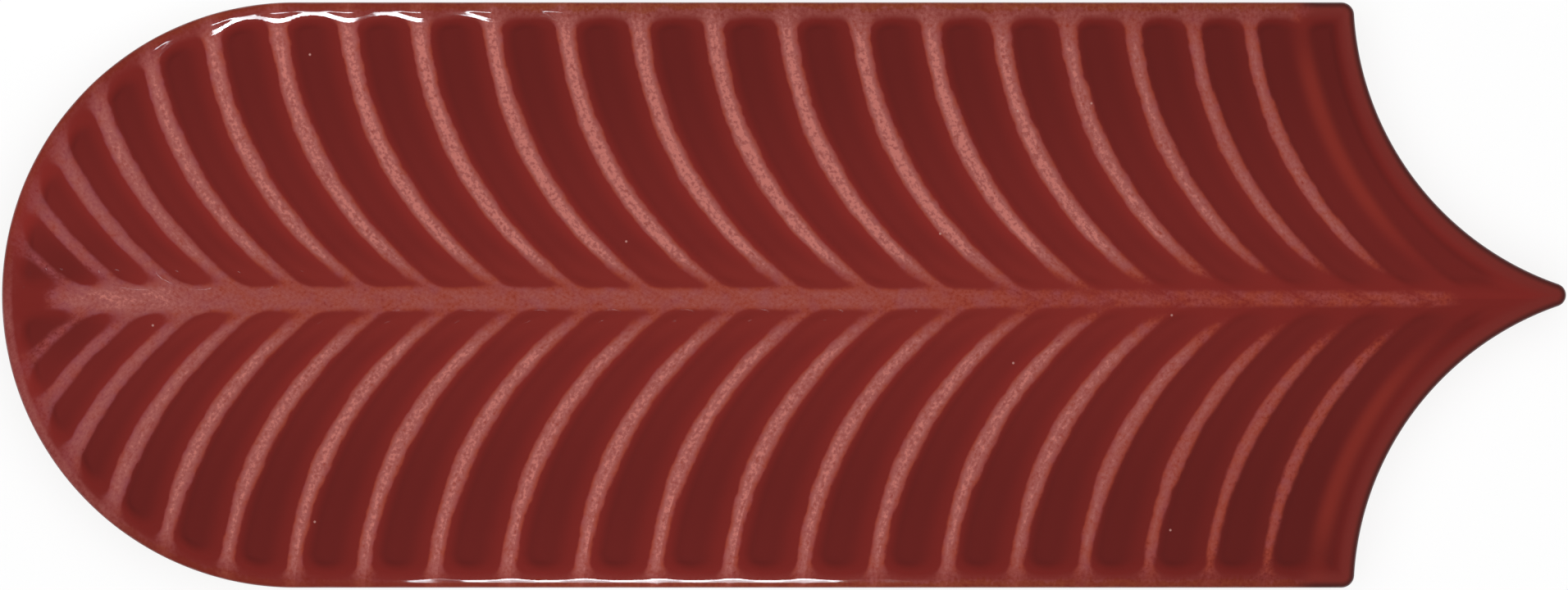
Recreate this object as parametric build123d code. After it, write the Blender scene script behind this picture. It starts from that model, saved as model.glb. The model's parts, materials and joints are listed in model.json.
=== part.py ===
from build123d import *
import math
import os

# Wall tile shaped as a long leaf, one piece of fired and glazed clay.
# It lies on its unglazed back: +X runs along the midrib from the round end to the point,
# +Y across the tile, +Z out of the glazed face. The origin is the middle of the back.

# Outline
tile_width = 100.0
tile_length = 267.0
tile_thickness = 10.0
joint_width = 2.0  # gap left for grout between a tile and its neighbours
corner_radius = 2.2  # where a straight side meets a hollow end arc
tip_radius = 2.0
face_edge_radius = 1.7  # roll of the glazed face into the sides
back_edge_bevel = 0.6

# Border of the relief
rim_width = 2.0
rim_slope_run = 2.6  # from the top of the rim in to the floor of the hollows
relief_corner_radius = 3.0
relief_tip_radius = 2.8

# Leaf ribs, each a copy of one arc slid along the tile
rib_count = 23
rib_arc_radius = 62.5
rib_arc_offset = 52.9  # from the midrib line out to the centre of the arc
first_rib_x = 6.4  # on the midrib line, from the round end
rib_pitch_round_end = 8.0
rib_pitch_middle = 12.6
rib_pitch_point_end = 9.0
rib_stagger = 2.7  # shift of the lower half toward the point
rib_crest_radius = 3.5
fading_ribs = 5  # ribs that grow out of the round end, the first one lowest
sinking_ribs = 7  # ribs that get lower toward the hollow end arcs
last_rib_share = 0.55  # height of the last rib
hollow_depth = 1.3  # from the rim, where the glaze pools
hollow_low_share = 0.33  # lowest line of a hollow, as a share of the pitch past the rib

# Midrib
midrib_offset = -0.65  # off the middle of the tile
midrib_width_round_end = 3.4  # across its flat top
midrib_width_point_end = 2.0
midrib_slope_run = 1.3
midrib_crest_radius = 1.6
midrib_drop = 0.05  # its top under the rim
midrib_point_gap = 6.0  # from the point back to its end, inside the rim

# Back
back_border = 9.0
groove_count = 7
groove_width = 6.0
groove_depth = 1.2

# Places that follow from the sizes above
half_width = tile_width / 2
end_x = tile_length / 2
round_centre_x = half_width - end_x
nest_radius = half_width + joint_width
nest_offset = half_width + joint_width / 2
nest_x = end_x - tip_radius + math.sqrt((nest_radius + tip_radius) ** 2 - nest_offset**2)
floor_z = tile_thickness - hollow_depth


def point_on_nest(radius, centre, side):
    """Touch point between a nest arc of this radius and a rounding about centre."""
    nest = Vector(nest_x, side * nest_offset)
    return nest + (centre - nest).normalized() * radius


def leaf_outline(inset, corner, tip):
    """Outline of the tile drawn in by inset, with its own rounding at the corners and the tip."""
    side_y = half_width - inset
    nest = nest_radius + inset
    corner_x = nest_x - math.sqrt((nest + corner) ** 2 - (nest_offset - side_y + corner) ** 2)
    tip_x = nest_x - math.sqrt((nest + tip) ** 2 - nest_offset**2)
    corner_top = Vector(corner_x, side_y - corner)
    corner_low = Vector(corner_x, corner - side_y)
    tip_centre = Vector(tip_x, 0)
    a = Vector(round_centre_x, side_y)
    b = Vector(corner_x, side_y)
    c = point_on_nest(nest, corner_top, 1)
    d = point_on_nest(nest, tip_centre, 1)
    e = point_on_nest(nest, tip_centre, -1)
    f = point_on_nest(nest, corner_low, -1)
    g = Vector(corner_x, -side_y)
    h = Vector(round_centre_x, -side_y)
    nest_top = Vector(nest_x, nest_offset)
    nest_low = Vector(nest_x, -nest_offset)
    edges = [
        Line(a, b),
        ThreePointArc(b, corner_top + ((b + c) / 2 - corner_top).normalized() * corner, c),
        ThreePointArc(c, nest_top + ((c + d) / 2 - nest_top).normalized() * nest, d),
        ThreePointArc(d, tip_centre + Vector(tip, 0), e),
        ThreePointArc(e, nest_low + ((e + f) / 2 - nest_low).normalized() * nest, f),
        ThreePointArc(f, corner_low + ((f + g) / 2 - corner_low).normalized() * corner, g),
        Line(g, h),
        ThreePointArc(h, Vector(round_centre_x - side_y, 0), a),
    ]
    return make_face(edges)


def rib_places():
    """Place of each rib where its arc is farthest out, with the pitch growing and shrinking."""
    reach = rib_arc_radius - math.sqrt(rib_arc_radius**2 - rib_arc_offset**2)
    x = first_rib_x - end_x - reach
    places = [x]
    gaps = rib_count - 1
    for i in range(gaps):
        t = i / (gaps - 1)
        from_start = rib_pitch_round_end * (1 - t) * (1 - 2 * t)
        from_middle = rib_pitch_middle * 4 * t * (1 - t)
        from_end = rib_pitch_point_end * t * (2 * t - 1)
        x += from_start + from_middle + from_end
        places.append(x)
    return places


def rib_share(i):
    """Height of a rib as a share of the depth: the first ones grow in, the last ones sink."""
    grown = min((i + 1) / (fading_ribs + 1), 1)
    sunk = max(1 - (rib_count - 1 - i) / sinking_ribs, 0)
    return grown * grown * (3 - 2 * grown) * (1 - sunk * (1 - last_rib_share))


def relief_section():
    """Section of the space over ribs and hollows: round ribs with a steep and a gentle side."""
    places = rib_places()
    pitches = [places[i + 1] - places[i] for i in range(rib_count - 1)] + [rib_pitch_point_end]
    start = Vector(places[0] - rib_pitch_round_end * (1 - hollow_low_share), 0, floor_z)
    corners = []
    radii = []
    for i in range(rib_count):
        corners.append(Vector(places[i], 0, floor_z + hollow_depth * rib_share(i)))
        corners.append(Vector(places[i] + pitches[i] * hollow_low_share, 0, floor_z))
        radii.append(rib_crest_radius)
        radii.append(0)
    near = Vector(start.X - tile_width, 0, floor_z)
    far = Vector(corners[-1].X + tile_width, 0, floor_z)
    lid = Vector(0, 0, hollow_depth + 1)
    wave = FilletPolyline(near, start, *corners, far, radius=[0, *radii])
    return make_face([*wave.edges(), *Polyline(far, far + lid, near + lid, near).edges()])


def relief_half(side):
    """Space over one half of the leaf: the section slid along a rib's arc to the midrib."""
    outer = Vector(0, rib_arc_offset, 0)
    centre = Vector(rib_arc_radius, rib_arc_offset, 0)
    inner = Vector(centre.X - math.sqrt(rib_arc_radius**2 - rib_arc_offset**2), 0, 0)
    middle = centre + ((outer + inner) / 2 - centre).normalized() * rib_arc_radius
    path = Edge.make_three_point_arc(outer, middle, inner)
    section = Pos(0, rib_arc_offset, 0) * relief_section()
    space = sweep(section, path=path, normal=(0, -1, 0))
    if side < 0:
        space = Pos(rib_stagger, 0, 0) * mirror(space, about=Plane.XZ)
    return Pos(0, midrib_offset, 0) * space


def midrib():
    """Low round-edged bar along the leaf, narrower toward the point, with drafted sides."""
    height = tile_thickness - midrib_drop - floor_z
    start = Vector(rim_width - end_x, midrib_width_round_end / 2 + midrib_slope_run)
    end = Vector(end_x - midrib_point_gap, midrib_width_point_end / 2 + midrib_slope_run)
    foot = Polygon((start.X, -start.Y), (end.X, -end.Y), (end.X, end.Y), (start.X, start.Y), align=None)
    bar = extrude(foot, height, taper=math.degrees(math.atan2(midrib_slope_run, height)))
    crests = bar.edges().group_by(Axis.Z)[-1].sort_by(Axis.Y)
    return Pos(0, midrib_offset, floor_z) * fillet([crests[0], crests[-1]], midrib_crest_radius)


def back_grooves():
    """Keying grooves for the adhesive, each as long as the flat border around them lets it be."""
    first_y = half_width - back_border - groove_width / 2
    grooves = Part()
    for i in range(groove_count):
        y = first_y * (2 * i / (groove_count - 1) - 1)
        outer_y = abs(y) + groove_width / 2
        round_reach = math.sqrt(max((half_width - back_border) ** 2 - outer_y**2, 0))
        nest_reach = math.sqrt((nest_radius + back_border) ** 2 - (nest_offset - outer_y) ** 2)
        start = round_centre_x - round_reach
        end = nest_x - nest_reach
        bar = Pos((start + end) / 2, y) * Rectangle(end - start, groove_width)
        grooves += extrude(bar, groove_depth, dir=(0, 0, 1))
    return grooves


body = extrude(leaf_outline(0, corner_radius, tip_radius), tile_thickness)
body = fillet(body.faces().sort_by(Axis.Z)[-1].edges(), face_edge_radius)
body = chamfer(body.faces().sort_by(Axis.Z)[0].edges(), back_edge_bevel)

well_outline = leaf_outline(rim_width, relief_corner_radius, relief_tip_radius)
well = Pos(0, 0, floor_z) * extrude(well_outline, hollow_depth + 1)
well = chamfer(well.faces().sort_by(Axis.Z)[0].edges(), hollow_depth, rim_slope_run)

tile = body
for side in (1, -1):
    tile -= well & relief_half(side)
tile += midrib()
tile -= back_grooves()

os.makedirs("parts", exist_ok=True)
export_step(tile, "parts/tile.step")
print("solids", len(tile.solids()), "faces", len(tile.faces()), "volume", round(tile.volume))
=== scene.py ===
"""Leaf-shaped wall tile: one fired clay body under an oxblood glaze that runs thin over its ribs."""

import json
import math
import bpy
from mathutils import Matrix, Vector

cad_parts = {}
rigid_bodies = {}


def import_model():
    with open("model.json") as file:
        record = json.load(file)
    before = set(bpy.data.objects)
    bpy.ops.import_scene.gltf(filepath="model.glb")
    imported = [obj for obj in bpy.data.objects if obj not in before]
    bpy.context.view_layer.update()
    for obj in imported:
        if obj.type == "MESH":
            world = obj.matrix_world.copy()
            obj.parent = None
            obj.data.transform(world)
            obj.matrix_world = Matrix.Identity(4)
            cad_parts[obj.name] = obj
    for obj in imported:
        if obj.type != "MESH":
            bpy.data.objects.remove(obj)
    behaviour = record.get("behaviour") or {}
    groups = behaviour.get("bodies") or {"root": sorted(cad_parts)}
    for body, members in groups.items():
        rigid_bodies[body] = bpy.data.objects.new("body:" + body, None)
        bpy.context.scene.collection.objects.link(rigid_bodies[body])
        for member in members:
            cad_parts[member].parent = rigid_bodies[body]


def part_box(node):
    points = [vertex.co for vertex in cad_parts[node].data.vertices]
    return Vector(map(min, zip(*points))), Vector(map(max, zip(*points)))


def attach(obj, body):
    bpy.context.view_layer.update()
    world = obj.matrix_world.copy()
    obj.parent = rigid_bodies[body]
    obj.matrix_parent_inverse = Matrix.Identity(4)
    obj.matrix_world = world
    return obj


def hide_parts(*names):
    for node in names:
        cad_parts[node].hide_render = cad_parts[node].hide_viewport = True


bl_info = {
    "name": "Leaf wall tile",
    "version": (1, 0, 0),
    "blender": (4, 5, 0),
    "location": "3D View > Sidebar > Leaf tile",
    "description": "Builds an interlocking leaf wall tile with glazed relief, and a studio to see it in",
    "category": "Add Mesh",
}

import bpy
import numpy as np
from bpy.props import FloatProperty, FloatVectorProperty, IntProperty, PointerProperty
from mathutils import Vector
from mathutils.geometry import delaunay_2d_cdt

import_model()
NODE = "tile"
BODY = "root"
LOW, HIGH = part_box(NODE)
MM = 0.001

# How the blank mesh is divided
CORNER_POINTS = 9
TIP_POINTS = 6
ARRIS_POINTS = 4
SIDE_POINTS = 7
ROLL_POINTS = 9
SLOT_POINTS = 14
SIDE_SHARE = 0.8  # of the way from the round end's centre to the point, for the straight sides
NEST_LENGTH = 60.0 * MM  # of a hollow end arc, about
SMALLEST_ROUNDING = 0.02 * MM
CLOSEST_POINTS = 0.18 * MM
SAME_POINT = 1e-7
JUST_INSIDE = 0.999
FLOOR_REACH = 0.05 * MM
FIRST_RIB_ROW = 3.6 * MM  # off the midrib, outside the rows that follow it
RIB_ROWS_REACH = 1.02  # of half the width, so that they go on past the edge
RIB_SHARES = (0.0, 0.05, 0.1, 0.16, 0.23, 0.3, 0.4, 0.52, 0.64, 0.74, 0.82, 0.89, 0.95)
RIBS_BEYOND = 6  # the rows also go on past the last rib
MIDRIB_ROWS = (0.0, 0.5, 0.9, 1.25, 1.55, 1.85, 2.15, 2.5, 2.9, 3.25)  # millimetres off its middle
MIDRIB_STEP_SHARE = 0.8  # of the step along the ribs
OFF_FACE = -1.0  # edge distance that marks the sides and the back

# How the relief tree works
PITCH_GUESS = 1.3  # an even pitch, as a share of the pitch at the first rib
CUBIC_STEPS = 6
MERGE_DISTANCE = 0.002 * MM

# Places where the glaze changes
ROUND_END = (-98.0 * MM, -124.0 * MM)  # along X
END_ARCS = (86.0 * MM, 91.0 * MM)  # along X
HOLLOW_ENDS = (219.0 * MM, 225.0 * MM)  # from the round end


def length(name, words, default_mm, lowest_mm=0.0):
    """A size in metres, written here in millimetres."""
    return FloatProperty(
        name=name,
        description=words,
        default=default_mm * MM,
        min=lowest_mm * MM,
        unit="LENGTH",
        precision=5,
    )


def share(name, words, default):
    """A part of one."""
    return FloatProperty(name=name, description=words, default=default, min=0.0, max=1.0, subtype="FACTOR")


def colour(name, words, default):
    """Red, green and blue in linear light."""
    return FloatVectorProperty(
        name=name, description=words, default=default, min=0.0, max=1.0, size=3, subtype="COLOR"
    )


def scale(name, words, default):
    """How fine a pattern is: features about 1 / scale metres wide."""
    return FloatProperty(name=name, description=words, default=default, min=1.0)


class LeafBody(bpy.types.PropertyGroup):
    """Outline, edges and back of the tile."""

    joint: length("Joint", "Gap left for grout beside a neighbour", 2.0)
    corner_radius: length("Corner radius", "Rounding where a side meets a hollow end arc", 2.2)
    tip_radius: length("Tip radius", "Rounding of the point", 2.0)
    edge_roll: length("Edge roll", "Radius that rolls the face into the sides", 0.7)
    back_arris: length("Back arris", "Rounding between the sides and the back", 0.6)
    back_border: length("Back border", "Flat border round the keying grooves", 9.0)
    groove_count: IntProperty(name="Grooves", description="Keying grooves on the back", default=7, min=2)
    groove_width: length("Groove width", "Width of a keying groove", 6.0)
    groove_depth: length("Groove depth", "Depth of a keying groove", 1.2)
    groove_draft: length("Groove draft", "How far a groove's wall leans in", 0.35)
    outline_step: length("Outline step", "Longest edge along the outline", 0.7, 0.2)
    ring_step: length("Ring step", "Space between the rings of points inside the rim", 0.27, 0.1)
    along_step: length("Step along ribs", "Space between points along a rib", 1.0, 0.2)


class LeafRelief(bpy.types.PropertyGroup):
    """Ribs, hollows, midrib and rim of the glazed face."""

    rib_count: IntProperty(name="Ribs", description="Ribs on each half of the leaf", default=23, min=3)
    arc_radius: length("Rib arc radius", "Radius of the arc that every rib follows", 62.5)
    arc_offset: length("Rib arc offset", "From the midrib out to the centre of that arc", 52.9)
    first_rib: length("First rib", "From the round end to the first rib, on the midrib", 6.4)
    pitch_round_end: length("Pitch at round end", "Space between the first two ribs", 8.0)
    pitch_middle: length("Pitch in middle", "Space between ribs halfway along", 12.6)
    pitch_point_end: length("Pitch at point end", "Space between the last two ribs", 9.0)
    stagger: length("Stagger", "Shift of the lower half toward the point", 2.7)
    hollow_depth: length("Hollow depth", "From the rim down to the lowest line of a hollow", 1.3)
    rib_drop: share("Rib drop", "Top of the ribs under the rim, as a share of the depth", 0.08)
    crest_half: length("Rib crest", "Half the width of a rib's rounded top", 0.3)
    low_share: share("Low line", "Lowest line of a hollow, as a share of the pitch past the rib", 0.33)
    fading_ribs: IntProperty(
        name="Fading ribs", description="Ribs that grow out of the round end", default=5, min=1
    )
    sinking_ribs: IntProperty(
        name="Sinking ribs", description="Ribs that get lower toward the hollow ends", default=7, min=1
    )
    last_rib_share: share("Last rib", "Height of the last rib, beside the hollow ends", 0.55)
    rim_width: length("Rim width", "From the edge to where the hollows start to fall", 2.45)
    rim_reach: length("Rim reach", "From the edge to where the hollows reach their depth", 5.0)
    rim_sag: length("Rim sag", "How much the edge sags under the level of the ribs", 0.125)
    sag_start: length("Sag start", "From the edge to where the sag is complete", 1.4)
    sag_end: length("Sag end", "From the edge in to where the face starts to sag", 2.4)
    scallop: length("Scallop", "How much further in the sag starts at a rib", 1.25)
    shoulder_drop: length("Shoulder drop", "Fall of the shoulder between the face and the edge roll", 0.345)
    shoulder_start: length("Shoulder start", "From the edge to where the shoulder is complete", 0.25)
    shoulder_end: length("Shoulder end", "From the edge in to where the shoulder starts", 1.4)
    shoulder_scallop: length("Shoulder scallop", "How much further in the shoulder lies at a rib", 0.35)
    rim_dip: length("Rim dip", "How much lower the rim lies over a hollow than at a rib", 0.25)
    dip_start: length("Dip start", "From the edge in to where the rim starts to dip", 6.5)
    dip_full: length("Dip full", "From the edge to where the dip is complete", 3.0)
    dip_turn: length("Dip turn", "From the midrib to where the dip is that of its half", 20.0)
    lower_dip: share("Lower dip", "Dip of the lower half, as a share of the upper half's", 0.25)
    midrib_offset: FloatProperty(
        name="Midrib offset",
        description="Place of the midrib off the middle of the tile",
        default=-0.65 * MM,
        unit="LENGTH",
        precision=5,
    )
    midrib_round_end: length("Midrib at round end", "Width of the midrib at the round end", 3.4)
    midrib_point_end: length("Midrib at point", "Width of the midrib at the point", 2.0)
    midrib_flat: share("Midrib flat", "Flat top of the midrib, as a share of its width", 0.7)
    midrib_reach: length("Midrib foot", "From the midrib's edge to where the hollows reach their depth", 3.6)


class GlazeLook(bpy.types.PropertyGroup):
    """Colours and finish of the glaze and the clay."""

    pool: colour("Pooled glaze", "Glaze at full depth in the hollows", (0.158, 0.0140, 0.0115))
    warm: colour("Warm glaze", "Glaze beside the midrib", (0.190, 0.0175, 0.0135))
    shoulder: colour("Shoulder glaze", "Glaze running down the side of a rib", (0.214, 0.0173, 0.0135))
    fringe: colour("Fringe glaze", "Glaze where it starts to break over a rib", (0.265, 0.0380, 0.0210))
    mauve: colour("Mauve fringe", "The same near the round end", (0.245, 0.0480, 0.0540))
    half_thin: colour("Half thin glaze", "Glaze over the lower ribs", (0.330, 0.093, 0.081))
    thin: colour("Thin glaze", "Glaze stretched over a rib, with the body showing", (0.475, 0.145, 0.120))
    rim_mauve: colour("Rim glaze", "Thin glaze along the rim", (0.290, 0.074, 0.066))
    edge_brown: colour("Edge glaze", "Thinnest glaze, round the very edge", (0.270, 0.062, 0.022))
    end_red: colour("End glaze", "Glaze along the hollow end arcs", (0.160, 0.0190, 0.0150))
    ridge_red: colour("Ridge glaze", "Glaze over the low last rib", (0.232, 0.0250, 0.0150))
    # Painted shade along the edge of the end arcs, for an edge that faced away from the light and reflected
    # dark surroundings.
    painted_edge_shade: colour("Dark edge", "Glaze gathered at the edge of the end arcs", (0.062, 0.0120, 0.0105))
    # Pits where the body shows through the glaze, their pale colour also a painted glint of light.
    pinhole_and_glint: colour("Pinhole", "Small pit in the glaze", (0.480, 0.230, 0.200))
    clay: colour("Clay", "Unglazed fired body", (0.52, 0.34, 0.22))
    clay_dark: colour("Dark clay", "Darker grains of the body", (0.36, 0.21, 0.13))
    roughness: share("Glaze roughness", "Roughness of the glaze", 0.06)
    clay_roughness: share("Clay roughness", "Roughness of the unglazed body", 0.85)
    rib_band: length("Thin rib", "Half the width of the thin glaze over a rib", 1.35)
    rib_waist: share("Rib waist", "Its narrowest width, as a share of the full one", 0.78)
    waist_place: length("Waist place", "From the midrib out to where it is narrowest", 38.0)
    waist_reach: length("Waist reach", "From there to where it has its full width", 14.0)
    band_lean: length("Band lean", "Its lean over the gentle side of a rib, halfway along the leaf", 0.65)
    first_thin: share("First ribs", "How thin the glaze gets over the first ribs", 0.75)
    last_thin: share("Last ribs", "How thin the glaze gets over the last ribs", 0.55)
    midrib_spill: length("Midrib spill", "How far the thin glaze reaches past the midrib", 0.3)
    midrib_thin: share("Midrib start", "How thin the glaze gets at the start of the midrib", 0.95)
    rim_band: length("Thin rim", "Thin glaze from the edge in, at a hollow's middle", 1.9)
    rim_cusp: length("Rim cusp", "How much further in the thin rim reaches at a rib", 1.0)
    # Along the upper side the thin rim is wider and thinner, partly real thin glaze and partly a painted
    # highlight for the pale lines that ran along that edge.
    upper_rim_and_glint: length("Upper rim", "How much wider the thin rim is along the upper side", 0.6)
    rim_thin: share("Rim thinness", "How thin the glaze gets along the rim", 0.16)
    upper_thin_and_glint: share("Upper thinness", "How much thinner it gets along the upper side", 0.34)
    edge_thin: share("Edge thinness", "How thin the glaze gets at the very edge", 0.33)
    round_thin: share("Round end thinness", "The same round the mauve round end", 0.55)
    band_blend: length("Band blend", "Rounding where two bands of thin glaze meet", 1.7)
    band_soft: length("Band softness", "Half the width of the blur at a band's edge", 0.75)
    band_wander: length("Band wander", "How far a band's edge wanders", 1.0)
    glaze_line: length("Glaze line", "Where the glaze ends on the sides, from the back up", 2.6)
    line_soft: length("Line softness", "Half the width of the blur at the glaze line", 0.1)
    line_wander: length("Line wander", "How far the glaze line wanders", 2.0)
    streak_scale: scale("Streak scale", "Streaks across the ribs", 2000.0)
    speckle_scale: scale("Speckle scale", "Fine speckle of the glaze", 1600.0)
    cloud_scale: scale("Cloud scale", "Broad clouds in the glaze", 260.0)
    mauve_scale: scale("Mauve scale", "Patches of the mauve fringe", 420.0)
    pit_scale: scale("Pinhole scale", "Cells that may hold a pinhole", 75.0)
    pit_share: share("Pinholes", "Share of those cells that hold one", 0.08)
    ripple_scale: scale("Ripple scale", "Broad ripple in the surface of the glaze", 130.0)
    ripple_height: length("Ripple height", "Height of that ripple", 0.055)
    grain_scale: scale("Grain scale", "Grain of the unglazed body", 1500.0)
    grain_height: length("Grain height", "Height of that grain", 0.12)


class StudioSetup(bpy.types.PropertyGroup):
    """Camera, lights and floor."""

    image_width: IntProperty(name="Image width", description="Pixels across", default=1912, min=16)
    tile_width_px: IntProperty(
        name="Tile in image", description="Pixels from end to end of the tile", default=1908, min=16
    )
    camera_height: length("Camera height", "Camera above the floor", 1600.0)
    floor_size: length("Floor size", "Side of the floor", 3000.0)
    floor_gap: length("Floor gap", "Space between the floor and the back of the tile", 0.1)
    floor_colour: colour("Floor", "Colour of the pale floor", (0.9, 0.9, 0.9))
    softbox_tint: colour("Softbox tint", "Cool light of the two softboxes", (0.86, 0.94, 1.0))
    surroundings: share("Surroundings", "Strength of the even light from all round", 0.13)


class Recipe:
    """Adds nodes to a tree in columns, and wires them as they come."""

    COLUMN_WIDTH = 180
    ROW_HEIGHT = 170
    ROWS = 6
    MIX_INPUTS = (0, 6, 7)  # factor and colours of a mix node
    MIX_OUTPUT = 2

    def __init__(self, tree):
        self.tree = tree
        self.count = 0

    def node(self, kind, **settings):
        made = self.tree.nodes.new(kind)
        column, row = divmod(self.count, self.ROWS)
        made.location = (self.COLUMN_WIDTH * column, -self.ROW_HEIGHT * row)
        self.count += 1
        for name, value in settings.items():
            setattr(made, name, value)
        return made

    def wire(self, value, socket):
        """Links a socket to another, or sets its value."""
        if isinstance(value, bpy.types.NodeSocket):
            self.tree.links.new(value, socket)
        else:
            socket.default_value = value

    def math(self, operation, *values, clamp=False):
        made = self.node("ShaderNodeMath", operation=operation, use_clamp=clamp)
        for value, socket in zip(values, made.inputs):
            self.wire(value, socket)
        return made.outputs[0]

    def plus(self, *values):
        total = values[0]
        for value in values[1:]:
            total = self.math("ADD", total, value)
        return total

    def minus(self, first, second):
        return self.math("SUBTRACT", first, second)

    def times(self, *values):
        product = values[0]
        for value in values[1:]:
            product = self.math("MULTIPLY", product, value)
        return product

    def rest(self, part):
        """What is left of one."""
        return self.minus(1.0, part)

    def blend(self, factor, first, second):
        """Colour between two colours."""
        made = self.node("ShaderNodeMix", data_type="RGBA")
        for value, number in zip((factor, first, second), self.MIX_INPUTS):
            if not isinstance(value, (bpy.types.NodeSocket, float)):
                value = (*value, 1.0)
            self.wire(value, made.inputs[number])
        return made.outputs[self.MIX_OUTPUT]

    def noise(self, place, scale, detail=2.0, roughness=0.5):
        """Noise about nought, from -0.5 to 0.5, with features about 1 / scale metres wide."""
        made = self.node("ShaderNodeTexNoise")
        self.wire(place, made.inputs["Vector"])
        made.inputs["Scale"].default_value = scale
        made.inputs["Detail"].default_value = detail
        made.inputs["Roughness"].default_value = roughness
        return self.minus(made.outputs[0], 0.5)

    def attribute(self, name):
        return self.node("ShaderNodeAttribute", attribute_name=name).outputs["Fac"]

    def ramp(self, value, low, high, to_low=0.0, to_high=1.0, curve="SMOOTHSTEP"):
        """Goes from to_low to to_high while the value goes from low to high, and stays there."""
        made = self.node("ShaderNodeMapRange", interpolation_type=curve)
        for given, socket in zip((value, low, high, to_low, to_high), made.inputs):
            self.wire(given, socket)
        return made.outputs[0]


def line_points(start, end, count):
    """Points along a line, without its end."""
    t = np.linspace(0, 1, count, endpoint=False)[:, None]
    return np.array(start) * (1 - t) + np.array(end) * t


def arc_points(centre, radius, first, last, count):
    """Points along an arc between two angles, without its end."""
    t = np.linspace(first, last, count, endpoint=False)
    return np.stack([centre[0] + radius * np.cos(t), centre[1] + radius * np.sin(t)], axis=1)


class LeafPlan:
    """The tile's outline and distances, worked out from its box and its sizes."""

    def __init__(self, body):
        self.body = body
        self.half_width = (HIGH.y - LOW.y) / 2
        self.end_x = HIGH.x
        self.top = HIGH.z
        self.round_x = LOW.x + self.half_width
        self.nest_radius = self.half_width + body.joint
        self.nest_y = self.half_width + body.joint / 2
        tip = body.tip_radius
        reach = math.sqrt((self.nest_radius + tip) ** 2 - self.nest_y**2)
        self.nest_x = self.end_x - tip + reach

    def rounding(self, inset, radius, y):
        """Place along X of a rounding that touches a nest arc, with its centre at this Y."""
        reach = self.nest_radius + inset + radius
        return self.nest_x - math.sqrt(reach**2 - (self.nest_y - y) ** 2)

    def outline(self, inset, corner, tip):
        """Points round the tile, drawn in by inset, as many at every inset."""
        side = self.half_width - inset
        nest = self.nest_radius + inset
        corner_y = side - corner
        corner_x = self.rounding(inset, corner, corner_y)
        tip_x = self.rounding(inset, tip, 0.0)
        to_corner = math.atan2(corner_y - self.nest_y, corner_x - self.nest_x)
        to_tip = math.atan2(-self.nest_y, tip_x - self.nest_x)
        step = self.body.outline_step
        side_points = round((self.end_x - self.round_x) * SIDE_SHARE / step)
        nest_points = round(NEST_LENGTH / step)
        end_points = round(math.pi * self.half_width / step)
        runs = [
            line_points((self.round_x, side), (corner_x, side), side_points),
            arc_points((corner_x, corner_y), corner, math.pi / 2, to_corner + math.pi, CORNER_POINTS),
            arc_points((self.nest_x, self.nest_y), nest, to_corner, to_tip, nest_points),
            arc_points((tip_x, 0.0), tip, to_tip + math.pi, 0.0, TIP_POINTS),
        ]
        upper = np.vstack(runs)
        lower = (upper[::-1] * (1, -1))[:-1]
        end = arc_points((self.round_x, 0.0), side, -math.pi / 2, -3 * math.pi / 2, end_points)
        return np.vstack([upper, [[tip_x + tip, 0.0]], lower, end])

    def edge_distance(self, x, y):
        """How far points of the face lie inside the outline."""
        body = self.body
        y = np.abs(y)
        side = np.where(
            x < self.round_x, self.half_width - np.hypot(x - self.round_x, y), self.half_width - y
        )
        nest = np.hypot(x - self.nest_x, y - self.nest_y) - self.nest_radius
        inside = np.minimum(side, nest)
        corner_y = self.half_width - body.corner_radius
        for radius, centre_y in ((body.corner_radius, corner_y), (body.tip_radius, 0.0)):
            centre_x = self.rounding(0.0, radius, centre_y)
            away_x = x - centre_x
            away_y = y - centre_y
            slope = (self.nest_y - centre_y) / (self.nest_x - centre_x)
            beyond = (away_x > 0) & (away_y > away_x * slope)
            if centre_y == 0.0:
                beyond = (away_x > 0) & (away_y < away_x * slope)
            inside = np.where(beyond, radius - np.hypot(away_x, away_y), inside)
        return inside


def rib_law(relief):
    """Start and the three factors of a rib's place along X, as a cubic of its number."""
    lean = relief.arc_radius - math.sqrt(relief.arc_radius**2 - relief.arc_offset**2)
    start = LOW.x + relief.first_rib - lean
    last_gap = relief.rib_count - 2
    p0, p1, p2 = relief.pitch_round_end, relief.pitch_middle, relief.pitch_point_end
    slope = (4 * p1 - 3 * p0 - p2) / last_gap
    bend = (2 * p0 - 4 * p1 + 2 * p2) / last_gap**2
    return start, p0 - slope / 2 + bend / 6, slope / 2 - bend / 2, bend / 3


def rib_points(plan, relief):
    """Points of the face laid along the ribs, close together where the relief turns."""
    start, a, b, c = rib_law(relief)
    number = np.array([i + s for i in range(-1, relief.rib_count + RIBS_BEYOND) for s in RIB_SHARES])
    place = start + number * (a + number * (b + number * c))
    rows = np.arange(FIRST_RIB_ROW, plan.half_width * RIB_ROWS_REACH, plan.body.along_step)
    lean = relief.arc_radius - np.sqrt(relief.arc_radius**2 - (relief.arc_offset - rows) ** 2)
    made = []
    for side in (1, -1):
        shift = relief.stagger if side < 0 else 0.0
        x = place[None, :] + lean[:, None] + shift
        y = np.repeat(relief.midrib_offset + side * rows[:, None], len(place), axis=1)
        made.append(np.stack([x.ravel(), y.ravel()], axis=1))
    return np.vstack(made)


def midrib_points(plan, relief):
    """Points in rows along the midrib and its feet."""
    x = np.arange(LOW.x, HIGH.x, plan.body.along_step * MIDRIB_STEP_SHARE)
    offsets = np.array(MIDRIB_ROWS) * MM
    rows = np.unique(np.concatenate([offsets, -offsets])) + relief.midrib_offset
    grid = np.meshgrid(x, rows)
    return np.stack([grid[0].ravel(), grid[1].ravel()], axis=1)


def roll_insets(plan):
    """Insets of the rings of points over the edge roll, at even steps of its turn."""
    turn = np.linspace(0, 1, ROLL_POINTS) * math.pi / 2
    return plan.body.edge_roll * (1 - np.cos(turn))


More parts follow.
